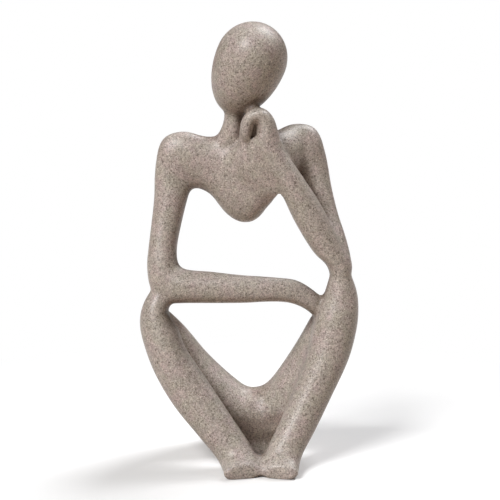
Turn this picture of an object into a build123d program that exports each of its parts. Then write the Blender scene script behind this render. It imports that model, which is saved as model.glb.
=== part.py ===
"""Abstract seated figure in sandstone-effect resin, lost in thought with its fist under its chin.

The figure is five castings, pinned together with steel dowels and standing on felt pads.
X runs to the viewer's right, Y away from the viewer, Z up, and the viewer looks at its front.
The figure's own right arm and leg are therefore on the viewer's left. All sizes are in mm.
"""
import math
import os
from typing import NamedTuple

from build123d import *

# Head: an egg on a leaning axis, with a long half towards the chin and a short one at the crown
HEAD_WIDTH = 41.6
HEAD_DEPTH = 46.0
CHIN_LENGTH = 34.5
CROWN_LENGTH = 22.0
HEAD_LEAN = 23.0
HEAD_BOW = 0.1
HEAD_MIDDLE = Vector(0.8, -2.0, 237.8)
HEAD_OVALS = 31
HEAD_REACH = math.radians(88)

# Steel dowels, each glued into two sockets a little wider than the pin
DOWEL_DIAMETER = 4.0
DOWEL_LENGTH = 22.0
GLUE_GAP = 0.1

# Felt pads, let into the undersides and standing a little proud of them
FELT = 1.0
FELT_PROUD = 0.3

# Block of space under the figure, by which the soles are cut flat
UNDER_SIDE = 220.0
UNDER_DEPTH = 30.0

# Ovals lofted from each cut to the next
RINGS_PER_CUT = 5


class Cut(NamedTuple):
    """An oval cut across a limb: its two points on the front outline, its depth and its thickness.

    The turn is about the upright through the oval's middle, in degrees.
    """

    x1: float
    z1: float
    x2: float
    z2: float
    y: float
    thick: float
    turn: float = 0.0

    @property
    def middle(self):
        return Vector((self.x1 + self.x2) / 2, self.y, (self.z1 + self.z2) / 2)

    @property
    def across(self):
        return Vector(self.x2 - self.x1, 0, self.z2 - self.z1)


# From the right hand, tucked behind the left knee, along the level forearm and up to the shoulder
RIGHT_ARM = [
    Cut(43.0, 78.0, 52.0, 87.0, -3, 12),
    Cut(35.9, 88.0, 44.0, 96.6, -5, 13),
    Cut(25.3, 94.4, 29.4, 107.8, -8, 14),
    Cut(14.1, 96.1, 15.8, 110.5, -10, 15),
    Cut(-5.9, 95.5, -5.3, 112.2, -11, 17),
    Cut(-37.8, 95.0, -24.7, 114.1, -9, 19),
    Cut(-49.6, 95.2, -31.8, 114.4, -8, 20),
    Cut(-58.2, 102.0, -37.7, 114.8, -6, 20),
    Cut(-60.9, 115.0, -42.0, 117.0, -4, 20),
    Cut(-60.3, 125.0, -43.1, 126.0, -1, 20),
    Cut(-58.6, 140.0, -40.6, 140.0, 3, 20),
]

# From the seam under the right shoulder across the chest, as far as the left shoulder
CHEST = [
    Cut(-56.9, 156.0, -36.6, 156.0, 6, 20),
    Cut(-56.0, 175.0, -34.6, 160.5, 8, 20),
    Cut(-51.5, 190.5, -31.5, 161.0, 8, 20),
    Cut(-39.6, 195.0, -28.0, 160.0, 8, 21),
    Cut(-26.6, 192.0, -22.5, 156.5, 8, 22),
    Cut(-14.1, 193.0, -14.0, 146.0, 7, 23),
    Cut(-5.0, 195.0, -5.2, 141.0, 5, 24),
    Cut(2.5, 195.5, 2.8, 142.6, 3, 26),
    Cut(9.0, 196.0, 10.0, 150.4, 1, 28),
    Cut(17.0, 196.0, 17.1, 159.4, 3, 26),
    Cut(28.0, 199.3, 24.5, 165.0, 11, 21),
    Cut(39.0, 196.0, 28.0, 167.0, 12, 20),
    Cut(45.0, 181.0, 30.0, 167.0, 12, 19),
]

# From the seam under the left shoulder down to just above the elbow
LEFT_UPPER_ARM = [
    Cut(48.5, 162.0, 31.4, 162.0, 10, 19),
    Cut(52.4, 146.0, 35.5, 145.0, 6, 19),
    Cut(57.0, 132.0, 40.5, 131.0, 0, 19),
    Cut(60.0, 119.0, 44.8, 119.0, -5, 18),
]

# From just above the waist under the left elbow over the knee and down the shin to the toes
LEFT_LEG = [
    Cut(59.5, 112.5, 47.3, 112.5, -7, 17),
    Cut(63.3, 101.5, 43.9, 101.0, -7, 21),
    Cut(64.3, 90.0, 38.5, 87.0, -8, 26),
    Cut(62.9, 78.0, 36.0, 74.0, -10, 27),
    Cut(58.2, 61.7, 32.0, 59.9, -14, 26),
    Cut(47.7, 40.2, 24.0, 42.0, -20, 24),
    Cut(38.2, 22.1, 17.0, 27.0, -27, 21),
    Cut(30.4, 9.0, 9.2, 12.0, -34, 19, -4),
    Cut(28.6, 4.2, 5.4, 4.4, -44, 13, -9),
    Cut(27.6, 4.0, 6.4, 3.0, -50.8, 10, -13),
]

# From inside the right elbow over the knee and down the shin to the toes
RIGHT_LEG = [
    Cut(-56.0, 106.0, -45.0, 96.0, -6, 17),
    Cut(-63.0, 94.5, -48.3, 89.2, -7, 22),
    Cut(-65.3, 83.0, -42.6, 79.0, -8, 26),
    Cut(-62.9, 70.9, -38.4, 69.0, -11, 27),
    Cut(-56.1, 53.5, -30.5, 58.0, -15, 26),
    Cut(-44.8, 35.3, -21.5, 45.5, -20, 24),
    Cut(-30.0, 18.7, -10.3, 30.0, -27, 21),
    Cut(-19.3, 7.5, 2.6, 12.2, -34, 19, 3),
    Cut(-16.0, 4.4, 7.2, 4.4, -44, 13, 9),
    Cut(-15.6, 3.8, 6.4, 3.0, -50.8, 10.5, 14),
]

# From the right knee down the right thigh, across the pelvis and up the left thigh
SEAT = [
    Cut(-61.0, 86.0, -48.0, 88.0, -6, 16),
    Cut(-61.0, 72.0, -38.0, 76.0, 2, 24),
    Cut(-52.0, 54.0, -27.5, 61.0, 10, 32),
    Cut(-36.5, 31.0, -16.4, 49.1, 15, 38),
    Cut(-19.0, 4.0, -6.1, 39.9, 18, 42),
    Cut(3.1, -10.0, 3.1, 35.9, 20, 44),
    Cut(25.8, 4.0, 12.2, 41.5, 18.5, 42),
    Cut(37.7, 31.0, 20.6, 54.4, 13, 39),
    Cut(50.7, 58.0, 29.0, 69.0, 7, 34),
    Cut(60.2, 79.0, 37.0, 85.0, 1, 25),
    Cut(60.0, 94.0, 44.0, 96.0, -6, 16),
]

# The web that fills the groove between the left shin and thigh, from under the knee down to where
# they part
SHIN_WEB = [
    Cut(62.0, 92.0, 41.5, 90.0, -6, 19),
    Cut(60.5, 76.0, 34.0, 74.5, -5, 23),
    Cut(54.0, 58.0, 28.5, 60.0, -5, 25),
    Cut(45.0, 41.0, 23.0, 46.0, -7, 23),
    Cut(37.0, 27.0, 18.5, 35.0, -10, 17),
]

# The foot of the pelvis, which stands upright where the seat alone would curve back under
PLINTH = [
    Cut(-16.0, -6.0, -16.0, 12.0, 9, 20),
    Cut(3.0, -8.0, 3.0, 12.0, 8.3, 20.4),
    Cut(22.0, -6.0, 22.0, 12.0, 9, 20),
]

# From the left elbow up across the chest to the palm, then over the knuckles to the fingertips
LEFT_FOREARM = [
    Cut(59.0, 108.0, 48.0, 108.0, -7, 16),
    Cut(60.2, 119.0, 44.7, 118.0, -8, 18),
    Cut(53.4, 131.0, 37.0, 125.8, -10, 18),
    Cut(41.3, 154.5, 25.7, 144.5, -12, 18),
    Cut(30.7, 170.8, 17.2, 162.3, -13, 18),
    Cut(19.7, 187.4, 6.6, 178.6, -13, 18),
    Cut(16.4, 197.2, 0.8, 188.5, -13, 17),
]

LEFT_FIST = [
    Cut(14.6, 203.0, 3.9, 195.5, -13, 16),
    Cut(11.5, 208.0, 4.5, 201.4, -13.5, 15),
    Cut(6.5, 211.0, 4.0, 203.4, -14, 15),
    Cut(1.0, 210.3, 3.4, 203.6, -14, 14),
    Cut(-3.5, 206.3, 2.6, 202.6, -14, 13),
    Cut(-5.9, 200.4, 1.6, 199.2, -14, 12),
    Cut(-5.4, 194.8, 0.5, 194.8, -13, 11),
    Cut(-3.0, 190.5, -0.4, 191.5, -12, 8),
]

# The palm behind the curled fingers
PALM = [
    Cut(-5.0, 189.0, 9.0, 194.0, -9, 7),
    Cut(-4.5, 198.0, 11.0, 200.0, -10.5, 7),
    Cut(-1.5, 205.5, 8.0, 206.5, -12.5, 7),
]

# The breast that carries the left forearm, from just under the fingertips down to the armpit
BREAST = [
    Cut(-4.0, 190.5, 8.0, 197.5, -5, 19),
    Cut(-8.5, 182.5, 11.1, 194.5, -5, 20),
    Cut(-7.0, 170.4, 15.0, 184.2, -5, 20),
    Cut(6.0, 157.5, 20.4, 166.4, -4, 18),
]

# From inside the chest up to the chin
NECK = [
    Cut(-26.0, 183.0, 10.0, 183.0, 7, 17),
    Cut(-17.5, 196.0, -0.5, 196.0, 4, 15),
    Cut(-15.2, 204.0, -3.0, 204.0, 2, 14),
    Cut(-15.2, 214.0, -2.0, 214.0, 0, 15),
]

# The seams where the elbows stand on the knees: the middle of each and the way that it faces
RIGHT_ELBOW_SEAM = Plane(origin=(-53.5, -6.0, 97.1), z_dir=(0.67, 0, 0.74))
LEFT_ELBOW_SEAM = Plane(origin=(53.5, -7.0, 110.5), z_dir=(0, 0, 1))

# Dowels: the middle of each pin and the way that it runs
DOWELS = {
    "neck_dowel": ((-9.0, 1.0, 206.0), (0, 0, 1)),
    "right_shoulder_dowel": ((-46.8, 6.0, 156.0), (0.1, 0.1, 1)),
    "left_shoulder_dowel": ((39.9, 9.5, 162.0), (-0.2, 0.2, 1)),
    "right_elbow_dowel": ((-53.5, -6.0, 97.1), (0.35, 0, 1)),
    "left_elbow_dowel": ((53.5, -7.0, 110.5), (0, 0, 1)),
}

# The two castings that each dowel joins
DOWEL_SOCKETS = {
    "neck_dowel": ("head", "torso"),
    "right_shoulder_dowel": ("right_arm", "torso"),
    "left_shoulder_dowel": ("left_arm", "torso"),
    "right_elbow_dowel": ("right_arm", "legs"),
    "left_elbow_dowel": ("left_arm", "legs"),
}

# Felt pads: the middle of each oval on the floor, its length and its width
PADS = {
    "seat_pad": ((3.1, 20.0), 34.0, 26.0),
    "right_foot_pad": ((-5.0, -43.5), 13.0, 8.0),
    "left_foot_pad": ((17.5, -43.5), 13.0, 8.0),
}


def slope(before, after):
    """How fast each value of a cut changes between two cuts."""
    reach = math.dist(before, after)
    return [(late - early) / reach for early, late in zip(before, after)]


def blend(cuts):
    """Fill in cuts along smooth curves that pass through the given ones."""
    last = len(cuts) - 1
    slopes = []
    for number in range(len(cuts)):
        slopes.append(slope(cuts[max(number - 1, 0)], cuts[min(number + 1, last)]))
    filled = []
    for start, end, leaving, arriving in zip(cuts, cuts[1:], slopes, slopes[1:]):
        reach = math.dist(start, end)
        for step in range(RINGS_PER_CUT):
            t = step / RINGS_PER_CUT
            weights = (2 * t**3 - 3 * t**2 + 1, 3 * t**2 - 2 * t**3)
            pulls = (reach * (t**3 - 2 * t**2 + t), reach * (t**3 - t**2))
            values = zip(start, end, leaving, arriving)
            filled.append(Cut(*(
                weights[0] * a + weights[1] * b + pulls[0] * c + pulls[1] * d for a, b, c, d in values
            )))
    filled.append(cuts[-1])
    return filled


def ovals_along(cuts):
    """The oval face of each cut, square to the run of the limb and drawn as four arcs."""
    last = len(cuts) - 1
    ovals = []
    for number, cut in enumerate(cuts):
        run = cuts[min(number + 1, last)].middle - cuts[max(number - 1, 0)].middle
        ahead = cut.across.cross(run).cross(cut.across)
        arcs = []
        for start in range(0, 360, 90):
            arcs.append(EllipticalCenterArc(
                (0, 0), cut.across.length / 2, cut.thick / 2, start_angle=start, arc_size=90
            ))
        across = cut.across.rotate(Axis.Z, cut.turn)
        ahead = ahead.rotate(Axis.Z, cut.turn)
        ovals.append(Plane(origin=cut.middle, x_dir=across, z_dir=ahead) * Face(Wire(arcs)))
    return ovals


def cast_run(*lengths):
    """Loft one long run length by length, so that neighbours meet on the very same oval."""
    ovals = ovals_along(blend([cut for length in lengths for cut in length]))
    solids = []
    start = 0
    for length in lengths:
        end = start + RINGS_PER_CUT * len(length)
        solids.append(loft(ovals[start:end + 1]))
        start = end
    return solids


def make_head():
    """An egg lofted through ovals, from just inside the tip of the chin to just inside the crown."""
    lean = math.radians(HEAD_LEAN)
    cuts = []
    for number in range(HEAD_OVALS):
        turn = HEAD_REACH * (2 * number / (HEAD_OVALS - 1) - 1)
        along = math.sin(turn) * (CROWN_LENGTH if turn > 0 else CHIN_LENGTH)
        half = math.cos(turn) * HEAD_WIDTH / 2
        x = HEAD_MIDDLE.X + along * math.sin(lean)
        z = HEAD_MIDDLE.Z + along * math.cos(lean)
        side, drop = half * math.cos(lean), half * math.sin(lean)
        y = HEAD_MIDDLE.Y - HEAD_BOW * along
        cuts.append(Cut(x - side, z + drop, x + side, z - drop, y, math.cos(turn) * HEAD_DEPTH))
    return loft(ovals_along(cuts))


def make_dowel(middle, way, growth=0.0):
    """A round pin, or with some growth the socket that it is glued into."""
    return Plane(origin=middle, z_dir=way) * Cylinder(DOWEL_DIAMETER / 2 + growth, DOWEL_LENGTH)


def make_pad(middle, length, width, growth=0.0):
    """An oval felt pad standing on the floor, or with some growth the recess that it is glued into."""
    oval = Ellipse(length / 2 + growth, width / 2 + growth)
    return Location((*middle, 0)) * extrude(oval, FELT)


def make_castings():
    """The five castings, each ending face to face with its neighbours."""
    right_arm, chest, left_upper_arm, left_leg = cast_run(RIGHT_ARM, CHEST, LEFT_UPPER_ARM, LEFT_LEG)
    right_leg, = cast_run(RIGHT_LEG)
    seat, = cast_run(SEAT)
    shin_web, = cast_run(SHIN_WEB)
    plinth, = cast_run(PLINTH)
    left_forearm, left_fist = cast_run(LEFT_FOREARM, LEFT_FIST)
    palm, = cast_run(PALM)
    breast, = cast_run(BREAST)
    neck = loft(ovals_along(NECK))
    head = make_head()

    torso = chest + breast + neck - head
    right_shin = split(right_leg, bisect_by=RIGHT_ELBOW_SEAM, keep=Keep.BOTTOM)
    left_shin = split(left_leg, bisect_by=LEFT_ELBOW_SEAM, keep=Keep.BOTTOM)
    under = Location((0, 0, FELT_PROUD - UNDER_DEPTH / 2)) * Box(UNDER_SIDE, UNDER_SIDE, UNDER_DEPTH)
    legs = seat.fuse(shin_web, plinth, right_shin, left_shin) - under

    right_arm = split(right_arm + right_leg, bisect_by=RIGHT_ELBOW_SEAM, keep=Keep.TOP) - legs
    left_arm = split(left_upper_arm + left_forearm, bisect_by=LEFT_ELBOW_SEAM, keep=Keep.TOP)
    left_arm = left_arm + left_fist + palm - torso - head
    return {"head": head, "torso": torso, "right_arm": right_arm, "left_arm": left_arm, "legs": legs}


def build_nodes():
    """Every node by its name, with the origin under the middle of the whole figure."""
    nodes = make_castings()
    for name, (middle, way) in DOWELS.items():
        socket = make_dowel(middle, way, GLUE_GAP)
        for casting in DOWEL_SOCKETS[name]:
            nodes[casting] -= socket
        nodes[name] = make_dowel(middle, way)
    for name, (middle, length, width) in PADS.items():
        nodes["legs"] -= make_pad(middle, length, width, GLUE_GAP)
        nodes[name] = make_pad(middle, length, width)
    box = Compound([shape.solid() for shape in nodes.values()]).bounding_box()
    under = Location((-box.center().X, -box.center().Y, 0))
    return {name: under * shape for name, shape in nodes.items()}


def main():
    os.makedirs("parts", exist_ok=True)
    for name, shape in build_nodes().items():
        box = shape.bounding_box()
        print(name, round(shape.volume), [round(v, 1) for v in (*box.min, *box.max)], shape.is_valid)
        export_step(shape, f"parts/{name}.step")


if __name__ == "__main__":
    main()
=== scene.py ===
"""The seated thinker: a faceless figure in sandstone-effect resin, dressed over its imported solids.

Every limb is swept through oval cuts. The limbs are fused into one skin whose joins are rounded as
a modeller's thumb would leave them, and the skin is then cut into the five castings of the real
figure.

Lengths in the classes are millimetres in the figure's own frame, in which X runs to the viewer's
right, Y away from the viewer and Z up. The figure's own right side is on the viewer's left.
"""
import logging
import math
from collections.abc import Iterable, Sequence
from dataclasses import dataclass
from enum import Enum
from typing import NamedTuple

import bmesh
import bpy
from mathutils import Matrix, Vector
from mathutils.bvhtree import BVHTree


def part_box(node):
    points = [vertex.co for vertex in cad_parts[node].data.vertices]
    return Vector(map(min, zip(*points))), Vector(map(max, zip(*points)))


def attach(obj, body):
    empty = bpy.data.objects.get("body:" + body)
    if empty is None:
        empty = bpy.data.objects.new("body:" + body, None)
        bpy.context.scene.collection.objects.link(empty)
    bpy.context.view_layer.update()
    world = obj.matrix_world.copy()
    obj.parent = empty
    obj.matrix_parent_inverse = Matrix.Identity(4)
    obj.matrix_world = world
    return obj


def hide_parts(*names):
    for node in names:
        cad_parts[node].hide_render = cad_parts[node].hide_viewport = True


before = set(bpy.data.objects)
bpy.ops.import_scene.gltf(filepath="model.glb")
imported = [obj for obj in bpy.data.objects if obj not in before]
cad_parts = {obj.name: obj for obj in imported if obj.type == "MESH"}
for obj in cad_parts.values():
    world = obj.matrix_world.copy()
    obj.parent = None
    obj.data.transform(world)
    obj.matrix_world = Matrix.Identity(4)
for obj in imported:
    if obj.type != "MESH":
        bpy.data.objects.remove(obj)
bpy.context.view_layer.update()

MM = 0.001
BODY = "root"
LOG = logging.getLogger("thinker")

# What a node's socket takes: another node's output, a number or a colour
Feed = bpy.types.NodeSocket | float | Sequence[float]

# Voxel size of the skins in millimetres, and that of the rough skins behind the wash
VOXEL = 0.8
ROUGH_VOXEL = 2.0

# Edges sharper than this many degrees stay crisp
CRISP = 60.0

# The seat pad's place in the figure's own frame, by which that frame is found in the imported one
SEAT_PAD_MIDDLE = (3.1, 20.0)


def figure_shift() -> Vector:
    """Where the figure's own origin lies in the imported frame, from the felt pad under its seat.

    Returns:
        The shift in millimetres.
    """
    low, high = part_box("seat_pad")
    middle = (low + high) / 2 / MM
    return Vector((middle.x - SEAT_PAD_MIDDLE[0], middle.y - SEAT_PAD_MIDDLE[1], 0.0))


SHIFT = figure_shift()


def metres(point: Sequence[float]) -> Vector:
    """Carry a point of the figure's own frame, in millimetres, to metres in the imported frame."""
    return (Vector(point) + SHIFT) * MM


class Cut(NamedTuple):
    """An oval cut across a limb: its two points on the front outline, its depth and its thickness.

    The turn is about the upright through the oval's middle, in degrees.
    """

    x1: float
    z1: float
    x2: float
    z2: float
    y: float
    thick: float
    turn: float = 0.0

    def middle(self) -> Vector:
        """The middle of the oval."""
        return Vector(((self.x1 + self.x2) / 2, self.y, (self.z1 + self.z2) / 2))

    def across(self) -> Vector:
        """From the oval's first outline point to its second."""
        return Vector((self.x2 - self.x1, 0.0, self.z2 - self.z1))


@dataclass(frozen=True)
class Limb:
    """A length of the figure, swept through ovals that are blended from a few cuts.

    Each two cuts are so many steps apart, and each oval has so many sides.
    """

    cuts: tuple[Cut, ...]
    steps: int = 6
    sides: int = 40

    def blended(self) -> list[Cut]:
        """Fill in cuts along smooth curves that pass through the given ones.

        Returns:
            The cuts with steps - 1 more between each two.
        """
        last = len(self.cuts) - 1
        slopes = []
        for number in range(len(self.cuts)):
            before, after = self.cuts[max(number - 1, 0)], self.cuts[min(number + 1, last)]
            reach = math.dist(before, after)
            slopes.append([(late - early) / reach for early, late in zip(before, after)])
        filled = []
        for start, end, leaving, arriving in zip(self.cuts, self.cuts[1:], slopes, slopes[1:]):
            reach = math.dist(start, end)
            for step in range(self.steps):
                t = step / self.steps
                rise = 3 * t**2 - 2 * t**3
                pull_out = reach * (t**3 - 2 * t**2 + t)
                pull_in = reach * (t**3 - t**2)
                filled.append(Cut(*(
                    (1 - rise) * a + rise * b + pull_out * c + pull_in * d
                    for a, b, c, d in zip(start, end, leaving, arriving)
                )))
        filled.append(self.cuts[-1])
        return filled

    def places(self, growth: float = 0.0) -> list[Matrix]:
        """What carries a circle of radius 1 onto each oval.

        Args:
            growth: how much further out than the limb's own surface each oval lies, in millimetres.

        Returns:
            One matrix for each oval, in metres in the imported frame.
        """
        cuts = self.blended()
        last = len(cuts) - 1
        matrices = []
        for number, cut in enumerate(cuts):
            run = cuts[min(number + 1, last)].middle() - cuts[max(number - 1, 0)].middle()
            across = cut.across()
            ahead = across.cross(run).cross(across).normalized()
            half_width = across.length / 2 + growth
            half_thick = cut.thick / 2 + growth
            wide = across.normalized() * half_width * MM
            deep = ahead.cross(across).normalized() * half_thick * MM
            columns = Matrix((wide, deep, ahead * MM)).transposed().to_4x4()
            turn = Matrix.Rotation(math.radians(cut.turn), 4, "Z")
            matrices.append(Matrix.Translation(metres(cut.middle())) @ turn @ columns)
        return matrices

    def sweep(self, mesh: bmesh.types.BMesh, growth: float = 0.0) -> None:
        """Add the closed limb to a mesh.

        Args:
            mesh: the mesh that it is added to.
            growth: how much fatter than the limb the sweep is all round, in millimetres.
        """
        places = self.places(growth)
        ring = bmesh.ops.create_circle(
            mesh, cap_ends=True, segments=self.sides, radius=1.0, matrix=places[0]
        )["verts"]
        face = ring[0].link_faces[0]
        first_edges = list(face.edges)
        for before, after in zip(places, places[1:]):
            moved = bmesh.ops.extrude_face_region(mesh, geom=[face])["geom"]
            points = [part for part in moved if isinstance(part, bmesh.types.BMVert)]
            face = next(part for part in moved if isinstance(part, bmesh.types.BMFace))
            bmesh.ops.transform(mesh, matrix=after @ before.inverted(), verts=points)
        bmesh.ops.holes_fill(mesh, edges=first_edges, sides=0)


class Plane(NamedTuple):
    """A plane at which something is cut off, and the side of it that is cleared away."""

    point: tuple[float, float, float]
    away: tuple[float, float, float]

    def flipped(self) -> "Plane":
        """The same plane with its other side cleared away."""
        x, y, z = self.away
        return Plane(self.point, (-x, -y, -z))


@dataclass(frozen=True)
class Foundry:
    """Fuses limbs into skins, rounds their joins and cuts castings out of a finished skin.

    The voxel is in millimetres. New and grown skins are smoothed so many times, each time by the
    softness. A closed part of a skin with fewer points than a crumb is a bubble that is left over.
    """

    voxel: float
    relax_new: int = 4
    relax_grown: int = 3
    softness: float = 0.5
    crumb: int = 400

    def show(self, name: str, mesh: bpy.types.Mesh) -> bpy.types.Object:
        """Make an object for a mesh and link it into the scene.

        Args:
            name: the object's name.
            mesh: the mesh.

        Returns:
            The object.
        """
        shown = bpy.data.objects.new(name, mesh)
        bpy.context.scene.collection.objects.link(shown)
        return shown

    def settle(self, work: bpy.types.Object) -> bpy.types.Object:
        """Replace an object's mesh by the one that its modifiers make.

        Args:
            work: the object, which loses its modifiers.

        Returns:
            The same object.
        """
        graph = bpy.context.evaluated_depsgraph_get()
        made = bpy.data.meshes.new_from_object(work.evaluated_get(graph))
        old = work.data
        work.modifiers.clear()
        work.data = made
        bpy.data.meshes.remove(old)
        return work

    def remesh(self, work: bpy.types.Object, smooth: int) -> None:
        """Add a voxel remesh and a light smoothing to an object.

        Args:
            work: the object.
            smooth: how often it is smoothed.
        """
        remesh = work.modifiers.new("voxels", "REMESH")
        remesh.mode = "VOXEL"
        remesh.voxel_size = self.voxel * MM
        remesh.use_smooth_shade = True
        if smooth:
            relax = work.modifiers.new("relax", "SMOOTH")
            relax.factor = self.softness
            relax.iterations = smooth

    def displace(self, work: bpy.types.Object, amount: float) -> None:
        """Move an object's surface along its normals.

        Args:
            work: the object.
            amount: how far it moves outwards, in millimetres.
        """
        push = work.modifiers.new("push", "DISPLACE")
        push.direction = "NORMAL"
        push.mid_level = 0.0
        push.strength = amount * MM

    def fuse(
        self, name: str, solids: Iterable[bpy.types.Mesh], fillet: float = 0.0, relax: int = 4
    ) -> bpy.types.Object:
        """Fuse closed meshes into one skin and fill the creases between them.

        The skin is grown and shrunk again by the fillet's radius, which rounds what is hollow
        and leaves what is proud. A fillet below nought rounds what is proud instead.

        Args:
            name: the skin's name.
            solids: the closed meshes, which may overlap.
            fillet: the radius of the filled creases, in millimetres.
            relax: how often the finished skin is smoothed.

        Returns:
            The skin as an object.
        """
        pile = bmesh.new()
        for solid in solids:
            pile.from_mesh(solid)
        mesh = bpy.data.meshes.new(name)
        pile.to_mesh(mesh)
        pile.free()
        work = self.show(name, mesh)
        self.remesh(work, self.relax_new)
        if fillet:
            self.drop_crumbs(self.settle(work))
            self.displace(work, fillet)
            self.remesh(work, self.relax_grown)
            self.drop_crumbs(self.settle(work))
            self.displace(work, -fillet)
            self.remesh(work, relax)
        return self.settle(work)

    def drop_crumbs(self, work: bpy.types.Object) -> None:
        """Remove the tiny closed bubbles that overlapping solids leave in a skin.

        Args:
            work: the skin.
        """
        mesh = bmesh.new()
        mesh.from_mesh(work.data)
        unseen = set(mesh.verts)
        while unseen:
            island = [unseen.pop()]
            for vert in island:
                for edge in vert.link_edges:
                    other = edge.other_vert(vert)
                    if other in unseen:
                        unseen.remove(other)
                        island.append(other)
            if len(island) < self.crumb:
                bmesh.ops.delete(mesh, geom=island, context="VERTS")
                unseen = {vert for vert in unseen if vert.is_valid}
        mesh.to_mesh(work.data)
        mesh.free()

    def combine(
        self, work: bpy.types.Object, tool: bpy.types.Object, operation: str
    ) -> bpy.types.Object:
        """Apply a boolean operation to an object.

        Args:
            work: the object that is changed.
            tool: the object that it is combined with.
            operation: INTERSECT, DIFFERENCE or UNION.

        Returns:
            The changed object.
        """
        cut = work.modifiers.new("cut", "BOOLEAN")
        cut.operation = operation
        cut.solver = "MANIFOLD"
        cut.object = tool
        return self.settle(work)

    def copy(self, name: str, work: bpy.types.Object) -> bpy.types.Object:
        """A copy of an object with a mesh of its own."""
        return self.show(name, work.data.copy())

    def clip(self, work: bpy.types.Object, plane: Plane) -> None:
        """Cut an object off at a plane and close the cut.

        Args:
            work: the object that is cut.
            plane: the plane, and the side of it on which everything is cleared.
        """
        mesh = bmesh.new()
        mesh.from_mesh(work.data)
        everything = list(mesh.verts) + list(mesh.edges) + list(mesh.faces)
        cut = bmesh.ops.bisect_plane(
            mesh,
            geom=everything,
            plane_co=metres(plane.point),
            plane_no=Vector(plane.away),
            clear_outer=True,
        )["geom_cut"]
        edges = [part for part in cut if isinstance(part, bmesh.types.BMEdge)]
        bmesh.ops.holes_fill(mesh, edges=edges, sides=0)
        mesh.to_mesh(work.data)
        mesh.free()

    def discard(self, *works: bpy.types.Object) -> None:
        """Remove working objects and their meshes.

        Args:
            works: the objects.
        """
        for work in works:
            mesh = work.data
            bpy.data.objects.remove(work)
            bpy.data.meshes.remove(mesh)


def swept(*limbs: Limb, growth: float = 0.0) -> bpy.types.Mesh:
    """One mesh that holds the sweeps of some limbs.

    Args:
        limbs: the limbs.
        growth: how much fatter than the limbs the sweeps are, in millimetres.

    Returns:
        The mesh.
    """
    work = bmesh.new()
    for limb in limbs:
        limb.sweep(work, growth)
    bmesh.ops.recalc_face_normals(work, faces=work.faces)
    mesh = bpy.data.meshes.new("swept")
    work.to_mesh(mesh)
    work.free()
    return mesh


@dataclass(frozen=True)
class Head:
    """A smooth egg on a leaning axis, long towards the chin and short at the crown.

    The chin and the crown are the two ends' lengths. The bow leans the axis backwards, and the
    reach is how much wider the head's own space is than the egg.
    """

    middle: tuple[float, float, float] = (0.8, -2.0, 237.8)
    width: float = 41.6
    depth: float = 46.0
    chin: float = 34.5
    crown: float = 22.0
    lean: float = math.radians(23.0)
    bow: float = 0.1
    reach: float = 1.0
    sides: int = 96
    rings: int = 64

    def egg(self, growth: float = 0.0) -> bpy.types.Mesh:
        """The egg's mesh.

        Args:
            growth: how far outside the egg's own surface it lies, in millimetres.

        Returns:
            The mesh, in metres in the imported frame.
        """
        work = bmesh.new()
        ball = bmesh.ops.create_uvsphere(
            work, u_segments=self.sides, v_segments=self.rings, radius=1.0
        )["verts"]
        crown = [vert for vert in ball if vert.co.z > 0]
        chin = [vert for vert in ball if vert.co.z < 0]
        wide = self.width / 2 + growth
        deep = self.depth / 2 + growth
        bmesh.ops.scale(work, vec=(1, 1, self.crown + growth), verts=crown)
        bmesh.ops.scale(work, vec=(1, 1, self.chin + growth), verts=chin)
        bmesh.ops.scale(work, vec=(wide, deep, 1), verts=ball)
        bow = Matrix.Identity(4)
        bow[1][2] = -self.bow
        lean = Matrix.Rotation(self.lean, 4, "Y")
        place = Matrix.Translation(metres(self.middle)) @ Matrix.Scale(MM, 4)
        bmesh.ops.transform(work, matrix=place @ lean @ bow, verts=ball)
        mesh = bpy.data.meshes.new("egg")
        work.to_mesh(mesh)
        work.free()
        return mesh

    def territory(self, forge: Foundry) -> bpy.types.Object:
        """The space that the casting is cut out of."""
        return forge.fuse("around_head", [self.egg(self.reach)])


RIGHT_ARM = (
    Cut(43.0, 78.0, 52.0, 87.0, -3, 12),
    Cut(35.9, 88.0, 44.0, 96.6, -5, 13),
    Cut(25.3, 94.4, 29.4, 107.8, -8, 14),
    Cut(14.1, 96.1, 15.8, 110.5, -10, 15),
    Cut(-5.9, 95.5, -5.3, 112.2, -11, 17),
    Cut(-37.8, 95.0, -24.7, 114.1, -9, 19),
    Cut(-49.6, 95.2, -31.8, 114.4, -8, 20),
    Cut(-58.2, 102.0, -37.7, 114.8, -6, 20),
    Cut(-60.9, 115.0, -42.0, 117.0, -4, 20),
    Cut(-60.3, 125.0, -43.1, 126.0, -1, 20),
    Cut(-58.6, 140.0, -40.6, 140.0, 3, 20),
)

CHEST = (
    Cut(-56.9, 156.0, -36.6, 156.0, 6, 20),
    Cut(-56.0, 175.0, -34.6, 160.5, 8, 20),
    Cut(-51.5, 190.5, -31.5, 161.0, 8, 20),
    Cut(-39.6, 195.0, -28.0, 160.0, 8, 21),
    Cut(-26.6, 192.0, -22.5, 156.5, 8, 22),
    Cut(-14.1, 193.0, -14.0, 146.0, 7, 23),
    Cut(-5.0, 195.0, -5.2, 141.0, 5, 24),
    Cut(2.5, 195.5, 2.9, 142.4, 3, 26),
    Cut(9.0, 196.0, 10.0, 150.4, 1, 28),
    Cut(17.0, 196.0, 17.1, 159.4, 3, 26),
    Cut(28.0, 199.3, 24.5, 165.0, 11, 21),
    Cut(39.0, 196.0, 28.0, 167.0, 12, 20),
    Cut(45.0, 181.0, 30.0, 167.0, 12, 19),
)

LEFT_UPPER_ARM = (
    Cut(48.5, 162.0, 31.4, 162.0, 10, 19),
    Cut(52.4, 146.0, 35.5, 145.0, 6, 19),
    Cut(57.0, 132.0, 40.5, 131.0, 0, 19),
    Cut(60.0, 119.0, 44.8, 119.0, -5, 18),
)

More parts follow.
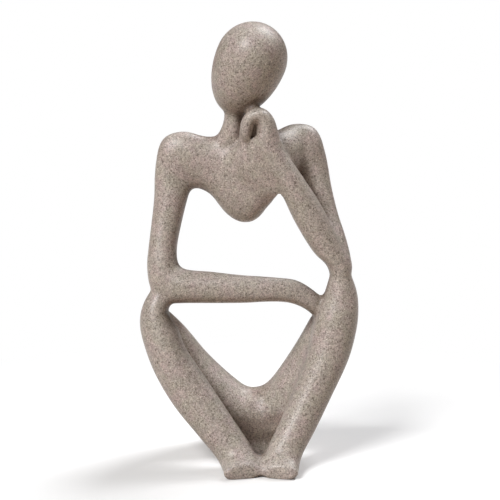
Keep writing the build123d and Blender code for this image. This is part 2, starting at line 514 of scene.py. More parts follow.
LEFT_LEG = (
    Cut(59.5, 112.5, 47.3, 112.5, -7, 17),
    Cut(63.3, 101.5, 43.9, 101.0, -7, 21),
    Cut(64.3, 90.0, 38.5, 87.0, -8, 26),
    Cut(62.9, 78.0, 36.0, 74.0, -10, 27),
    Cut(58.2, 61.7, 32.0, 59.9, -14, 26),
    Cut(47.7, 40.2, 24.0, 42.0, -20, 24),
    Cut(38.2, 22.1, 17.0, 27.0, -27, 21),
    Cut(30.4, 9.0, 9.1, 12.2, -34, 19, -4),
    Cut(28.6, 4.2, 6.0, 4.4, -44, 13, -9),
    Cut(27.6, 4.0, 7.2, 3.0, -50.8, 10, -13),
)

RIGHT_LEG = (
    Cut(-56.0, 106.0, -45.0, 96.0, -6, 17),
    Cut(-63.0, 94.5, -48.3, 89.2, -7, 22),
    Cut(-65.3, 83.0, -42.6, 79.0, -8, 26),
    Cut(-62.9, 70.9, -38.4, 69.0, -11, 27),
    Cut(-56.1, 53.5, -30.5, 58.0, -15, 26),
    Cut(-44.8, 35.3, -21.5, 45.5, -20, 24),
    Cut(-30.0, 18.7, -10.3, 30.0, -27, 21),
    Cut(-19.3, 7.5, 2.6, 12.2, -34, 19, 3),
    Cut(-16.0, 4.4, 6.6, 4.4, -44, 13, 9),
    Cut(-15.6, 3.8, 5.6, 3.0, -50.8, 10.5, 14),
)

SEAT = (
    Cut(-61.0, 86.0, -48.0, 88.0, -6, 16),
    Cut(-61.0, 72.0, -38.0, 76.0, 2, 24),
    Cut(-52.0, 54.0, -27.5, 61.0, 10, 32),
    Cut(-36.5, 31.0, -16.4, 49.1, 15, 38),
    Cut(-19.0, 4.0, -6.1, 39.9, 18, 42),
    Cut(3.1, -10.0, 3.1, 32.8, 20, 44),
    Cut(25.8, 4.0, 12.2, 41.5, 18.5, 42),
    Cut(37.7, 31.0, 20.6, 54.4, 13, 39),
    Cut(50.7, 58.0, 29.0, 69.0, 7, 34),
    Cut(60.2, 79.0, 37.0, 85.0, 1, 25),
    Cut(60.0, 94.0, 44.0, 96.0, -6, 16),
)

# The foot of the pelvis, which stands upright where the seat alone would curve back under
PLINTH = (
    Cut(-16.0, -6.0, -16.0, 12.0, 9, 20),
    Cut(3.0, -8.0, 3.0, 12.0, 8.3, 20.4),
    Cut(22.0, -6.0, 22.0, 12.0, 9, 20),
)

# The low arch under the thighs, from one side to the other, between the heels and the pelvis
ARCH = (
    Cut(-60.0, -9.0, -60.0, 9.5, -11.5, 20),
    Cut(3.0, -9.0, 3.0, 9.5, -11.5, 20),
    Cut(66.0, -9.0, 66.0, 9.5, -11.5, 20),
)

# The upper part of the arch, behind the left shin
SLOT = (
    Cut(8.0, 3.0, 8.0, 21.0, -13, 11),
    Cut(24.0, 3.0, 24.0, 21.0, -13, 11),
    Cut(40.0, 3.0, 40.0, 21.0, -13, 11),
)

LEFT_FOREARM = (
    Cut(59.0, 108.0, 48.0, 108.0, -7, 16),
    Cut(60.2, 119.0, 44.7, 118.0, -8, 18),
    Cut(53.4, 131.0, 37.0, 125.8, -10, 18),
    Cut(41.3, 154.5, 25.7, 144.5, -12, 18),
    Cut(30.7, 170.8, 17.2, 162.3, -13, 18),
    Cut(19.7, 187.4, 6.6, 178.6, -13, 18),
    Cut(16.4, 197.2, 0.8, 188.5, -13, 17),
)

LEFT_FIST = (
    Cut(14.6, 203.0, 3.9, 195.5, -13, 16),
    Cut(11.5, 208.0, 4.5, 201.4, -13.5, 15),
    Cut(6.5, 211.0, 4.0, 203.4, -14, 15),
    Cut(1.0, 210.3, 3.4, 203.6, -14, 14),
    Cut(-3.5, 206.3, 2.6, 202.6, -14, 13),
    Cut(-5.9, 200.4, 1.6, 199.2, -14, 12),
    Cut(-5.4, 194.8, 0.5, 194.8, -13, 11),
    Cut(-3.0, 190.5, -0.4, 191.5, -12, 8),
)

# The palm behind the curled fingers
PALM = (
    Cut(-7.0, 188.4, 9.0, 194.0, -8.5, 8),
    Cut(-6.6, 197.4, 11.0, 200.0, -9.5, 8),
    Cut(-4.6, 205.0, 8.0, 206.5, -11.5, 8),
)

# The breast that carries the left forearm, from just under the fingertips down to the armpit
BREAST = (
    Cut(-4.0, 190.5, 8.0, 197.5, -5, 19),
    Cut(-8.5, 182.5, 11.1, 194.5, -5, 20),
    Cut(-7.0, 170.4, 15.0, 184.2, -5, 20),
    Cut(6.0, 157.5, 20.4, 166.4, -4, 18),
)

# The sharp corner of the gap between the breast and the forearm
CORNER = (
    Cut(10.6, 150.6, 22.0, 150.6, -4, 60),
    Cut(13.4, 155.4, 19.9, 155.4, -4, 60),
    Cut(16.3, 161.0, 17.9, 161.0, -4, 60),
)

# The hollow between the fingers and the palm, whose floor is a flat ledge
HOLLOW = (
    Cut(-0.8, 192.1, 4.1, 194.6, -18, 11),
    Cut(0.9, 196.8, 4.2, 198.2, -18, 10.5),
    Cut(2.6, 201.6, 4.1, 202.4, -18.5, 7),
)

NECK = (
    Cut(-26.0, 183.0, 10.0, 183.0, 7, 17),
    Cut(-17.5, 196.0, -0.5, 196.0, 4, 15),
    Cut(-15.2, 204.0, -3.0, 204.0, 2, 14),
    Cut(-15.2, 214.0, -2.0, 214.0, 0, 15),
)

# The front run's last cut, at which the left upper arm meets the knee
ARM_ON_KNEE = LEFT_LEG[:1]

# The numbers of the cuts at which the shanks start, and the part of the forearm on the breast
SHANK_START = 5
BREAST_START = 2


@dataclass(frozen=True)
class Torso:
    """The chest, the breast that carries the chin arm, and the neck.

    The web is the radius to which the hollow between breast and forearm is filled, and its edges
    are planes. The clearance is how far the arms stay off the chest.
    """

    chest: Limb = Limb(CHEST)
    breast: Limb = Limb(BREAST)
    neck: Limb = Limb(NECK)
    web: float = 11.0
    web_edges: tuple[Plane, ...] = (
        Plane((9.2, 0.0, 150.6), (0.794, 0.0, -0.608)),
        Plane((-20.0, 0.0, 150.0), (-1.0, 0.0, 0.0)),
        Plane((0.0, 0.0, 196.0), (0.0, 0.0, 1.0)),
        Plane((28.4, 0.0, 156.0), (0.83, 0.0, 0.56)),
    )
    clearance: float = 0.5

    def carrier(self, forge: Foundry, forearm: Limb) -> bpy.types.Object:
        """The breast, with the flat web that joins it to the forearm in front of it.

        Args:
            forge: the foundry.
            forearm: the part of the chin arm that lies on the breast.

        Returns:
            The skin.
        """
        web = forge.fuse("web", [swept(self.chest, self.breast, forearm)], self.web)
        for edge in self.web_edges:
            forge.clip(web, edge)
        return web

    def territory(self, forge: Foundry) -> bpy.types.Object:
        """The space round the chest that no arm may take."""
        return forge.fuse("around_chest", [swept(self.chest, growth=self.clearance)])


@dataclass(frozen=True)
class RightArm:
    """The arm that comes down from the shoulder and lies across both knees.

    The casting ends at two planes, and the reach is how much wider its own space is than the arm.
    """

    arm: Limb = Limb(RIGHT_ARM)
    shoulder: Plane = Plane((-46.8, 6.0, 156.0), (0.0, 0.0, 1.0))
    elbow: Plane = Plane((-53.5, -6.0, 97.1), (-0.67, 0.0, -0.74))
    reach: float = 5.0

    def territory(self, forge: Foundry, knee: bpy.types.Object) -> bpy.types.Object:
        """The space that the casting is cut out of.

        Args:
            forge: the foundry.
            knee: the space of the knee on which the hand lies.

        Returns:
            The closed region.
        """
        region = forge.fuse("around_right", [swept(self.arm, growth=self.reach)])
        forge.clip(region, self.shoulder)
        forge.clip(region, self.elbow)
        return forge.combine(region, knee, "DIFFERENCE")


@dataclass(frozen=True)
class LeftArm:
    """The bent arm, whose forearm lies on the breast and whose fist holds up the chin.

    The crease is the radius of the filled creases in the fist. The casting ends at the elbow's
    plane, and the reach is how much wider its own space is than the arm.
    """

    upper: Limb = Limb(LEFT_UPPER_ARM)
    forearm: Limb = Limb(LEFT_FOREARM + LEFT_FIST)
    on_breast: Limb = Limb(LEFT_FOREARM[BREAST_START:])
    palm: Limb = Limb(PALM)
    carved: tuple[Limb, ...] = (Limb(HOLLOW), Limb(CORNER))
    elbow: Plane = Plane((53.5, -7.0, 110.5), (0.0, 0.0, -1.0))
    crease: float = 0.6
    reach: float = 5.0

    def fist(self, forge: Foundry) -> bpy.types.Object:
        """The forearm with its curled hand."""
        return forge.fuse("fist", [swept(self.forearm, self.palm)], self.crease)

    def carve(self, forge: Foundry, skin: bpy.types.Object) -> None:
        """Carve the fist's hollow and the gap's sharp corner out of the figure's skin.

        Args:
            forge: the foundry.
            skin: the skin.
        """
        for limb in self.carved:
            hollow = forge.fuse("hollow", [swept(limb)])
            forge.combine(skin, hollow, "DIFFERENCE")
            forge.discard(hollow)

    def territory(self, forge: Foundry, chest: bpy.types.Object) -> bpy.types.Object:
        """The space that the casting is cut out of.

        Args:
            forge: the foundry.
            chest: the space of the chest.

        Returns:
            The closed region.
        """
        region = forge.fuse("around_left", [swept(self.forearm, self.upper, growth=self.reach)])
        forge.clip(region, self.elbow)
        return forge.combine(region, chest, "DIFFERENCE")


@dataclass(frozen=True)
class Legs:
    """Both legs, the seat that runs from knee to knee, and the foot of the pelvis.

    The lap and the ankle are the radii of the filled creases there. The clearance is how far the
    tucked hand stays off the left knee.
    """

    left: Limb = Limb(LEFT_LEG)
    right: Limb = Limb(RIGHT_LEG)
    left_shank: Limb = Limb(LEFT_LEG[SHANK_START:])
    right_shank: Limb = Limb(RIGHT_LEG[SHANK_START:])
    seat: Limb = Limb(SEAT, sides=64)
    plinth: Limb = Limb(PLINTH)
    arches: tuple[Limb, ...] = (Limb(ARCH), Limb(SLOT))
    lap: float = 10.8
    lap_relax: int = 12
    ankle: float = 2.2
    clearance: float = 0.5

    def skins(self, forge: Foundry) -> list[bpy.types.Object]:
        """The working skins.

        The lap flows into the left shin, while the right shin stands clear of it.

        Args:
            forge: the foundry.

        Returns:
            The lap, the right shin and the two ankles.
        """
        forms = swept(self.left, self.seat, self.plinth)
        lap = forge.fuse("lap", [forms], self.lap, self.lap_relax)
        arch = forge.fuse("arch", [swept(*self.arches)])
        forge.combine(lap, arch, "DIFFERENCE")
        forge.discard(arch)
        shin = forge.fuse("shin", [swept(self.right)])
        ankles = forge.fuse("ankles", [swept(self.left_shank, self.right_shank)], self.ankle)
        return [lap, shin, ankles]

    def knee(self, forge: Foundry) -> bpy.types.Object:
        """The space of the left knee, against which the right hand lies."""
        return forge.fuse("around_knee", [swept(self.left, growth=self.clearance)])


@dataclass(frozen=True)
class Figure:
    """The whole figure as one skin, and the castings that are cut out of it.

    The front run is one limb from the tucked hand over both shoulders to the left knee. The creases
    are the radii to which the joins are filled. The castings stand on the ground's plane, and the
    torso ends above the waist's.
    """

    foundry: Foundry
    head: Head = Head()
    torso: Torso = Torso()
    right_arm: RightArm = RightArm()
    left_arm: LeftArm = LeftArm()
    legs: Legs = Legs()
    front_run: Limb = Limb(RIGHT_ARM + CHEST + LEFT_UPPER_ARM + ARM_ON_KNEE)
    arm_crease: float = 1.8
    crease: float = 0.8
    ground: Plane = Plane((0.0, 0.0, 0.3), (0.0, 0.0, -1.0))
    waist: Plane = Plane((0.0, 0.0, 128.0), (0.0, 0.0, 1.0))

    def skin(self) -> bpy.types.Object:
        """Fuse everything into one skin.

        Returns:
            The skin, in one piece from the crown to the soles.
        """
        forge = self.foundry
        upper = forge.fuse("upper", [swept(self.front_run, self.torso.neck)], self.arm_crease)
        web = self.torso.carrier(forge, self.left_arm.on_breast)
        parts = [upper, web, self.left_arm.fist(forge), *self.legs.skins(forge)]
        meshes = [self.head.egg()] + [part.data for part in parts]
        whole = forge.fuse("whole", meshes, self.crease)
        self.left_arm.carve(forge, whole)
        forge.clip(whole, self.ground)
        forge.discard(*parts)
        return whole

    def castings(self) -> dict[str, bpy.types.Object]:
        """Cut the skin into the castings.

        Returns:
            The castings by the name of the node that each stands for.
        """
        forge = self.foundry
        rest = self.skin()
        relief = Relief.measured(rest)
        chest = self.torso.territory(forge)
        knee = self.legs.knee(forge)
        territories = {
            "head": self.head.territory(forge),
            "left_arm": self.left_arm.territory(forge, chest),
            "right_arm": self.right_arm.territory(forge, knee),
        }
        pieces = {}
        for name, territory in territories.items():
            pieces[name] = forge.combine(forge.copy(name, rest), territory, "INTERSECT")
            forge.combine(rest, territory, "DIFFERENCE")
        pieces["torso"] = forge.copy("torso", rest)
        forge.clip(pieces["torso"], self.waist.flipped())
        pieces["legs"] = rest
        forge.clip(rest, self.waist)
        forge.discard(chest, knee, *territories.values())
        for piece in pieces.values():
            relief.write(piece)
        return pieces


@dataclass(frozen=True)
class Relief:
    """How deep each point of the figure lies in a hollow, and how far it stands out on an edge.

    Both are measured against rough skins: one whose hollows are filled, and one whose edges are
    rounded off. The finish paints shade into the hollows as a brown darkening and paints a paler
    highlight onto the edges.
    A point is fully hollow or fully proud at the distances deep and proud, in millimetres, and the
    slack is how far a rough skin may be off by itself.
    """

    filled: BVHTree
    rounded: BVHTree
    deep: float = 5.6
    proud: float = 1.6
    slack: float = 0.45

    @classmethod
    def measured(
        cls, skin: bpy.types.Object, fill: float = 16.0, rounding: float = 5.0
    ) -> "Relief":
        """Make the rough skins.

        Args:
            skin: the figure's whole skin.
            fill: the radius to which hollows are filled, in millimetres.
            rounding: the radius to which edges are rounded, in millimetres.

        Returns:
            The relief.
        """
        forge = Foundry(ROUGH_VOXEL)
        surfaces = []
        for name, radius in (("filled", fill), ("rounded", -rounding)):
            rough = forge.fuse(name, [skin.data], radius)
            mesh = bmesh.new()
            mesh.from_mesh(rough.data)
            surfaces.append(BVHTree.FromBMesh(mesh))
            mesh.free()
            forge.discard(rough)
        return cls(*surfaces)

    def share(self, surface: BVHTree, point: Vector, full: float) -> float:
        """How far a point is from a rough skin.

        Args:
            surface: the rough skin's surface.
            point: the point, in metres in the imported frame.
            full: the distance at which the share is 1, in millimetres.

        Returns:
            A share from 0 to 1.
        """
        distance = surface.find_nearest(point)[3] / MM
        return min(max((distance - self.slack) / (full - self.slack), 0.0), 1.0)

    def write(self, piece: bpy.types.Object) -> None:
        """Keep both shares on a casting's mesh, as the attributes hollow and edge.

        Args:
            piece: the casting.
        """
        points = [vertex.co for vertex in piece.data.vertices]
        measures = (("hollow", self.filled, self.deep), ("edge", self.rounded, self.proud))
        for name, surface, full in measures:
            shares = [self.share(surface, point, full) for point in points]
            piece.data.attributes.new(name, "FLOAT", "POINT").data.foreach_set("value", shares)


class Tone(Enum):
    """The finishes' colours, as linear red, green and blue."""

    STONE = (0.408, 0.352, 0.315)
    ROSE = (0.435, 0.330, 0.320)
    MOSS = (0.355, 0.340, 0.265)
    CHALK = (0.61, 0.555, 0.51)
    UMBER = (0.095, 0.066, 0.048)
    # painted shade: the brown darkening laid into the hollows
    HOLLOW_SHADE = (0.50, 0.44, 0.40)
    # painted highlight: the paler tone laid along the proud edges
    EDGE_HIGHLIGHT = (0.53, 0.475, 0.44)
    STEEL = (0.56, 0.56, 0.57)
    DULL_STEEL = (0.36, 0.36, 0.37)
    FELT = (0.030, 0.027, 0.025)
    LINT = (0.085, 0.078, 0.072)
    FLOOR = (0.93, 0.93, 0.93)
    FLOOR_BOUNCE = (0.34, 0.26, 0.19)

    def paint(self) -> tuple[float, float, float, float]:
        """The colour as a socket takes it."""
        return (*self.value, 1.0)


class Board:
    """Places nodes on a tree and joins them."""

    # Sockets of the mix node for colours, which has others of the same names
    MIX_SHARE, MIX_A, MIX_B, MIX_RESULT = 0, 6, 7, 2

    def __init__(self, tree: bpy.types.NodeTree) -> None:
        """Keep the tree."""
        self.tree = tree

    def wire(self, output: bpy.types.NodeSocket, socket: bpy.types.NodeSocket) -> None:
        """Join an output to a socket."""
        self.tree.links.new(output, socket)

    def add(self, kind: str, inputs: dict | None = None, **settings: object) -> bpy.types.Node:
        """Add a node.

        Args:
            kind: Blender's name for the node.
            inputs: by a socket's name or number, its value or the output that feeds it.
            settings: the node's own settings.

        Returns:
            The node.
        """
        node = self.tree.nodes.new(kind)
        for name, value in settings.items():
            setattr(node, name, value)
        for name, value in (inputs or {}).items():
            if isinstance(value, bpy.types.NodeSocket):
                self.wire(value, node.inputs[name])
            else:
                node.inputs[name].default_value = value
        return node

    def math(self, operation: str, *values: Feed) -> bpy.types.NodeSocket:
        """The result of a sum on numbers or outputs."""
        node = self.add("ShaderNodeMath", dict(enumerate(values)), operation=operation)
        return node.outputs["Value"]

    def vector(self, operation: str, **inputs: Feed) -> bpy.types.NodeSocket:
        """The result of a sum on vectors.

        Args:
            operation: the sum.
            inputs: first and second for its two vectors, and Scale for its number.

        Returns:
            The output.
        """
        sockets = {"first": 0, "second": 1}
        fed = {sockets.get(name, name): value for name, value in inputs.items()}
        return self.add("ShaderNodeVectorMath", fed, operation=operation).outputs["Vector"]

    def total(self, start: float, *parts: tuple[Feed, float]) -> bpy.types.NodeSocket:
        """Add masks to a number.

        Args:
            start: the number.
            parts: each mask, with what it adds where it is 1.

        Returns:
            The output that gives the total.
        """
        level = start
        for mask, weight in parts:
            level = self.math("MULTIPLY_ADD", mask, weight, level)
        return level

    def ramp(
        self, value: Feed, start: float, end: float, low: float = 0.0, high: float = 1.0
    ) -> bpy.types.NodeSocket:
        """Carry a value smoothly from one range to another.

        Args:
            value: the output that gives the value.
            start: the value that gives low.
            end: the value that gives high.
            low: the result at the start.
            high: the result at the end.

        Returns:
            The output.
        """
        inputs = {"Value": value, "From Min": start, "From Max": end, "To Min": low, "To Max": high}
        node = self.add("ShaderNodeMapRange", inputs, interpolation_type="SMOOTHSTEP")
        return node.outputs["Result"]

    def mix(
        self, share: Feed, first: Feed, second: Feed, blend: str = "MIX"
    ) -> bpy.types.NodeSocket:
        """Mix two colours.

        Args:
            share: how much of the second shows.
            first: the first colour, or the output that gives it.
            second: the second colour, or the output that gives it.
            blend: how the second is laid over the first.

        Returns:
            The output.
        """
        inputs = {self.MIX_SHARE: share, self.MIX_A: first, self.MIX_B: second}
        node = self.add("ShaderNodeMix", inputs, data_type="RGBA", blend_type=blend)
        return node.outputs[self.MIX_RESULT]

    def lay(self, colour: Feed, tone: Tone, mask: Feed, strength: float) -> bpy.types.NodeSocket:
        """Lay a tone over a colour.

        Args:
            colour: the colour, or the output that gives it.
            tone: the tone.
            mask: where the tone lies.
            strength: how much of it shows there.

        Returns:
            The output.
        """
        return self.mix(self.math("MULTIPLY", mask, strength), colour, tone.paint())

    def bump(self, height: Feed, strength: float, distance: float) -> bpy.types.NodeSocket:
        """The normal of a fine relief.

        Args:
            height: the relief.
            strength: how much of it shows.
            distance: how high a 1 stands, in millimetres.

        Returns:
            The output.
        """
        inputs = {"Height": height, "Strength": strength, "Distance": distance * MM}
        return self.add("ShaderNodeBump", inputs).outputs["Normal"]

    def mapped(
        self, place: Feed, turn: Sequence[float], scale: Sequence[float], kind: str = "POINT"
    ) -> bpy.types.NodeSocket:
        """Turn and stretch a pattern on a piece.

        Args:
            place: the piece's own coordinates.
            turn: the turn about each axis, in radians.
            scale: the scale along each axis.
            kind: POINT scales first and then turns, and TEXTURE undoes the turn and then the scale.

        Returns:
            The coordinates to read the pattern at.
        """
        inputs = {"Vector": place, "Rotation": turn, "Scale": scale}
        return self.add("ShaderNodeMapping", inputs, vector_type=kind).outputs["Vector"]

    def effect(self, group: bpy.types.NodeTree, **inputs: Feed) -> bpy.types.NodeSocket:
        """Place an effect and give its mask."""
        return self.add("ShaderNodeGroup", inputs, node_tree=group).outputs["Mask"]

    def seen_by(self, *rays: str) -> bpy.types.NodeSocket:
        """Whether something is seen by rays of some kinds.

        Args:
            rays: the kinds, by the names of the light path's outputs.

        Returns:
            The output, which is 1 where it is seen so.
        """
        path = self.add("ShaderNodeLightPath")
        seen, *others = (path.outputs[ray] for ray in rays)
        for other in others:
            seen = self.math("MAXIMUM", seen, other)
        return seen


class Effects:
    """The patterns that several finishes use, each a node group that is built once."""

    # How much noise is spread at a contrast or a break of 1, so that it fills the mask
    CONTRAST_GAIN = 6.0
    BREAK_GAIN = 8.0

    # A grain in units of its size: how fine its ragged outline is, the half width of the smallest
    # one, how much wider the widest is, and where its soft edge starts and ends
    RAGGED_SCALE = 2.3
    HALF_WIDTH = 0.3
    WIDER = 0.25
    EDGE = (-0.06, 0.1)

    def __init__(self) -> None:
        """Build the groups."""
        self.flecks = self.build_flecks()
        self.mottle = self.build_mottle()
        self.ragged = self.build_ragged()

    def group(self, name: str, **inputs: float) -> tuple[Board, bpy.types.Node, bpy.types.Node]:
        """Start a group whose inputs are a place and some numbers, and whose output is a mask.

        Args:
            name: the group's name.
            inputs: the numbers by their sockets' names.

        Returns:
            The board, and the group's input and output nodes.
        """
        tree = bpy.data.node_groups.new(name, "ShaderNodeTree")
        tree.interface.new_socket("Place", in_out="INPUT", socket_type="NodeSocketVector")
        for label, value in inputs.items():
            socket = tree.interface.new_socket(label, in_out="INPUT", socket_type="NodeSocketFloat")
            socket.default_value = value
        tree.interface.new_socket("Mask", in_out="OUTPUT", socket_type="NodeSocketFloat")
        board = Board(tree)
        return board, board.add("NodeGroupInput"), board.add("NodeGroupOutput")

    def in_units(self, board: Board, given: bpy.types.Node) -> bpy.types.NodeSocket:
        """The place, counted in the pattern's own size, which is given in millimetres.

        Args:
            board: the group's board.
            given: the group's input node.

        Returns:
            The output.
        """
        scale = board.math("DIVIDE", 1.0 / MM, given.outputs["Size"])
        return board.vector("SCALE", first=given.outputs["Place"], Scale=scale)

    def noise(self, board: Board, place: Feed, detail: Feed) -> bpy.types.NodeSocket:
        """Noise about nought, with blotches one unit wide.

        Args:
            board: the group's board.
            place: the coordinates in units.
            detail: how fine the noise gets.

        Returns:
            The output.
        """
        node = board.add("ShaderNodeTexNoise", {"Vector": place, "Scale": 1.0, "Detail": detail})
        return board.math("SUBTRACT", node.outputs["Fac"], 0.5)

    def build_flecks(self) -> bpy.types.NodeTree:
        """Scattered grains: a share of the cells hold one, each with a ragged outline.

        Returns:
            The group.
        """
        board, given, result = self.group("flecks", Size=1.0, Share=0.3, Ragged=0.3)
        place = self.in_units(board, given)
        inputs = {"Vector": place, "Scale": self.RAGGED_SCALE, "Detail": 1.0}
        jitter = board.add("ShaderNodeTexNoise", inputs).outputs["Color"]
        centred = board.vector("SUBTRACT", first=jitter, second=(0.5, 0.5, 0.5))
        moved = board.vector("SCALE", first=centred, Scale=given.outputs["Ragged"])
        place = board.vector("ADD", first=place, second=moved)
        cells = board.add("ShaderNodeTexVoronoi", {"Vector": place, "Scale": 1.0})
        chance = board.add("ShaderNodeSeparateColor", {"Color": cells.outputs["Color"]})
        held = board.math("LESS_THAN", chance.outputs["Red"], given.outputs["Share"])
        width = board.math("MULTIPLY_ADD", chance.outputs["Green"], self.WIDER, self.HALF_WIDTH)
        near = board.math("SUBTRACT", width, cells.outputs["Distance"])
        grain = board.ramp(near, *self.EDGE)
        board.wire(board.math("MULTIPLY", held, grain), result.inputs["Mask"])
        return board.tree

    def build_mottle(self) -> bpy.types.NodeTree:
        """Soft blotches: nought between them and one in their middles.

        Returns:
            The group.
        """
        board, given, result = self.group("mottle", Size=5.0, Contrast=0.5, Detail=2.0)
        noise = self.noise(board, self.in_units(board, given), given.outputs["Detail"])
        gain = board.math("MULTIPLY", given.outputs["Contrast"], self.CONTRAST_GAIN)
        spread = board.math("MULTIPLY_ADD", noise, gain, 0.5)
        board.wire(board.ramp(spread, 0.0, 1.0), result.inputs["Mask"])
        return board.tree

    def build_ragged(self) -> bpy.types.NodeTree:
        """A share that a mesh attribute gives, with an edge broken up by the grain.

        Returns:
            The group.
        """
        board, given, result = self.group("ragged", Size=1.5, Share=0.0, Break=0.4)
        noise = self.noise(board, self.in_units(board, given), 3.0)
        share = given.outputs["Share"]
        halfway = board.math("MULTIPLY", share, board.math("SUBTRACT", 1.0, share))
        gain = board.math("MULTIPLY", given.outputs["Break"], self.BREAK_GAIN)
        shift = board.math("MULTIPLY", board.math("MULTIPLY", noise, halfway), gain)
        broken = board.math("ADD", share, shift)
        board.wire(board.ramp(broken, 0.0, 1.0), result.inputs["Mask"])
        return board.tree


class Blotches(NamedTuple):
    """Soft blotches: their size in millimetres, their contrast, their detail and how much they
    show.
    """

    size: float
    contrast: float
    detail: float = 2.0
    strength: float = 1.0

    def mask(self, board: Board, effects: Effects, place: Feed) -> bpy.types.NodeSocket:
        """Where the blotches lie.

        Args:
            board: the material's board.
            effects: the shared patterns.
            place: the coordinates.

        Returns:
            The mask.
        """
        return board.effect(
            effects.mottle, Place=place, Size=self.size, Contrast=self.contrast, Detail=self.detail
        )


class Grains(NamedTuple):
    """Grains: their size in millimetres, the share of places that hold one, how ragged they are and
    how much they show.
    """

    size: float
    share: float
    ragged: float
    strength: float

    def mask(self, board: Board, effects: Effects, place: Feed) -> bpy.types.NodeSocket:
        """Where the grains lie.

        Args:
            board: the material's board.
            effects: the shared patterns.
            place: the coordinates.

        Returns:
            The mask.
        """
        return board.effect(
            effects.flecks, Place=place, Size=self.size, Share=self.share, Ragged=self.ragged
        )


class PaintedReliefLight(NamedTuple):
    """Painted light or shade that an attribute of the mesh gives: the size in millimetres of what
    breaks up its edge, how much it is broken up, and how much it shows.
    """

    attribute: str
    size: float
    broken: float
    strength: float

    def mask(self, board: Board, effects: Effects, place: Feed) -> bpy.types.NodeSocket:
        """Where the wear lies.

        Args:
            board: the material's board.
            effects: the shared patterns.
            place: the coordinates.

        Returns:
            Where the painted light or shade lies.
        """
        share = board.add("ShaderNodeAttribute", attribute_name=self.attribute).outputs["Fac"]
        return board.effect(
            effects.ragged, Place=place, Size=self.size, Share=share, Break=self.broken
        )


def blank_material(
    name: str, tone: Tone, roughness: float
) -> tuple[bpy.types.Material, Board, bpy.types.Node]:
    """Start a material.

    Args:
        name: the material's name.
        tone: its main colour.
        roughness: its main roughness.

    Returns:
        The material, its board and its shader.
    """
    material = bpy.data.materials.new(name)
    material.use_nodes = True
    shader = material.node_tree.nodes["Principled BSDF"]
    shader.inputs["Base Color"].default_value = tone.paint()
    shader.inputs["Roughness"].default_value = roughness
    return material, Board(material.node_tree), shader


